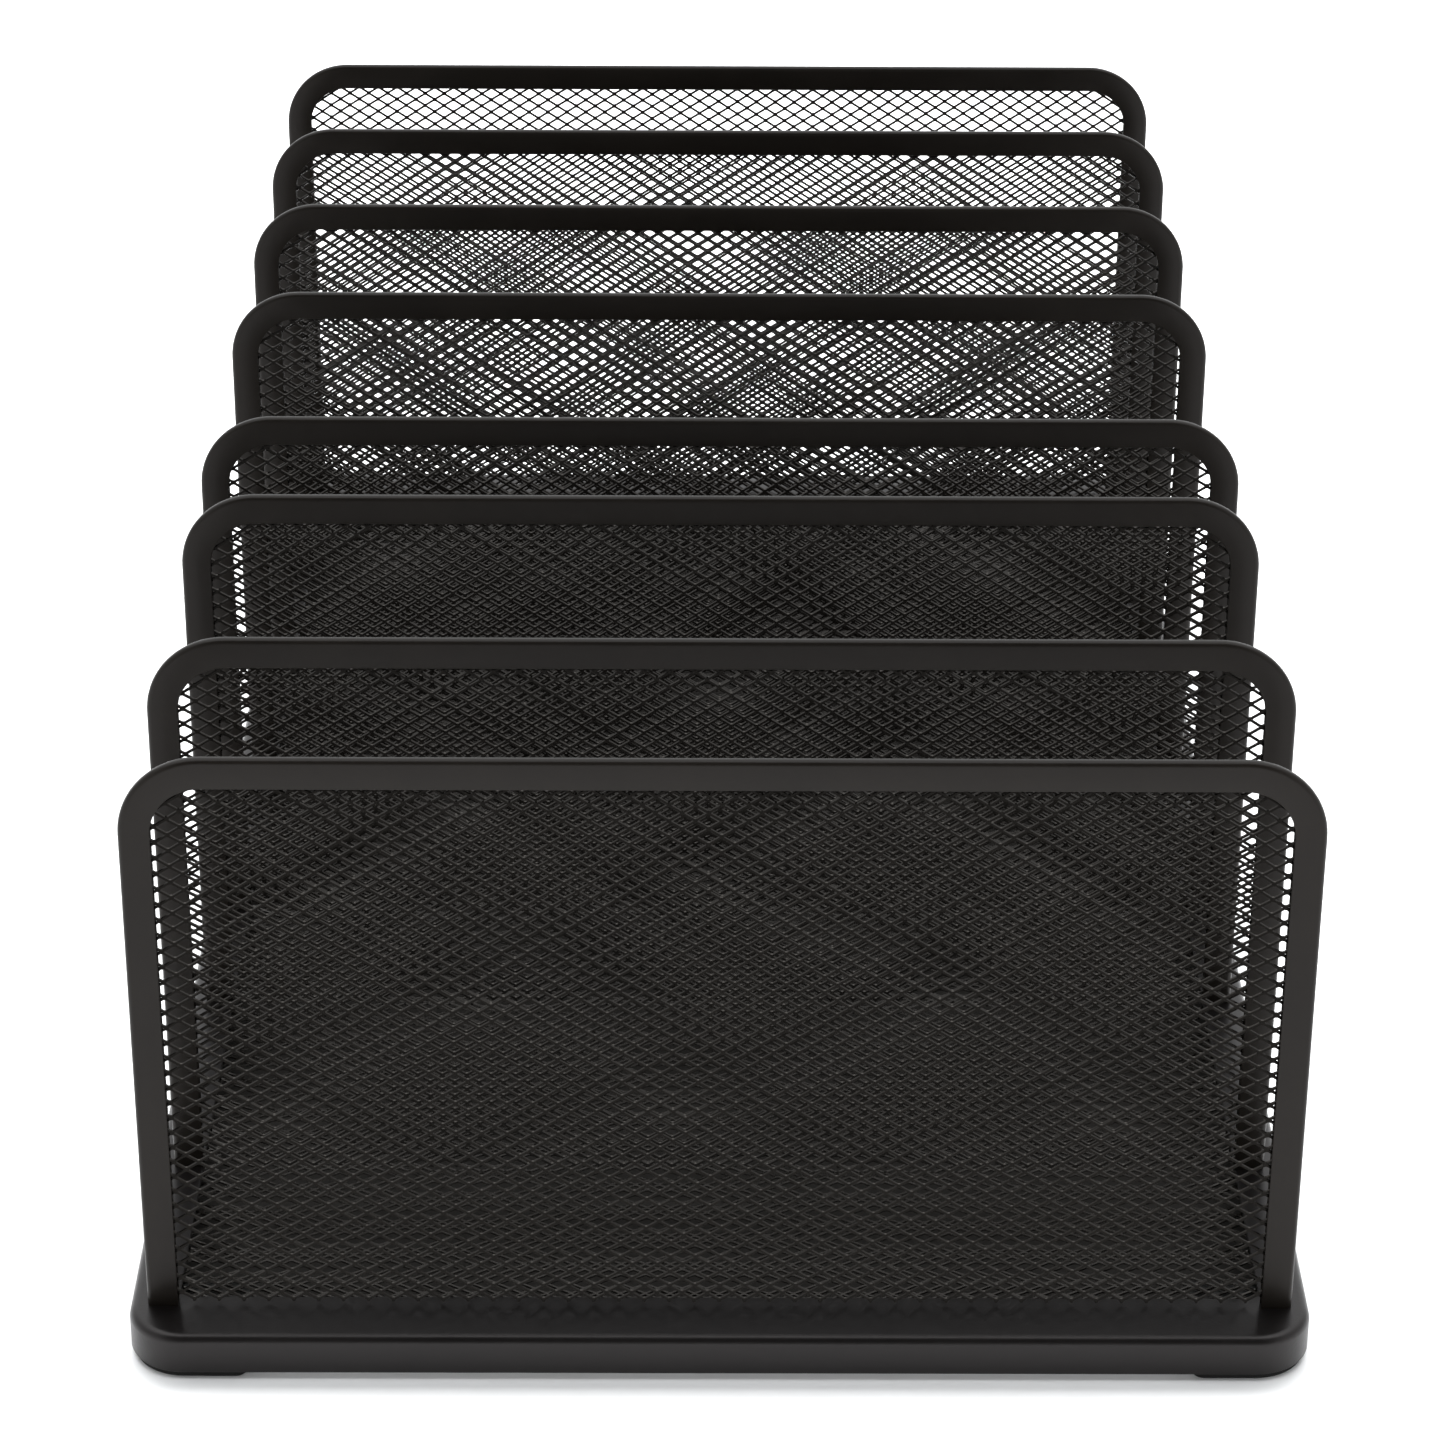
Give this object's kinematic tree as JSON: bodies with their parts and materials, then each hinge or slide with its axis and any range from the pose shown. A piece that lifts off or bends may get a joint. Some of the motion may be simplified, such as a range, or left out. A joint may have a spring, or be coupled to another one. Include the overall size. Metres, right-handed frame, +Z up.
{
  "type": "desktop file sorter",
  "caption": "Desktop file sorter: upright expanded-mesh dividers in folded steel frames on a pressed steel base with a mesh floor and corner pads.",
  "frame": {"origin": "middle of the base, on the surface the feet rest on", "axes": "+X to the right across the dividers' width, +Y from the front divider to the rear one, +Z up"},
  "size_m": [0.2486, 0.4362, 0.1405],
  "materials": {
    "coated_sheet": "satin black powder coat on pressed steel sheet",
    "coated_channel": "satin black powder coat on folded steel channel",
    "coated_mesh": "satin black powder coat on expanded steel mesh",
    "pad_rubber": "matt black moulded rubber"
  },
  "bodies": {
    "root": {"base_rim": "coated_sheet", "floor_mesh": "coated_mesh", "divider_frame_1": "coated_channel", "divider_frame_2": "coated_channel", "divider_frame_3": "coated_channel", "divider_frame_4": "coated_channel", "divider_frame_5": "coated_channel", "divider_frame_6": "coated_channel", "divider_frame_7": "coated_channel", "divider_frame_8": "coated_channel", "divider_mesh_1": "coated_mesh", "divider_mesh_2": "coated_mesh", "divider_mesh_3": "coated_mesh", "divider_mesh_4": "coated_mesh", "divider_mesh_5": "coated_mesh", "divider_mesh_6": "coated_mesh", "divider_mesh_7": "coated_mesh", "divider_mesh_8": "coated_mesh", "foot_front_left": "pad_rubber", "foot_front_right": "pad_rubber", "foot_rear_left": "pad_rubber", "foot_rear_right": "pad_rubber"}
  },
  "joints": []
}
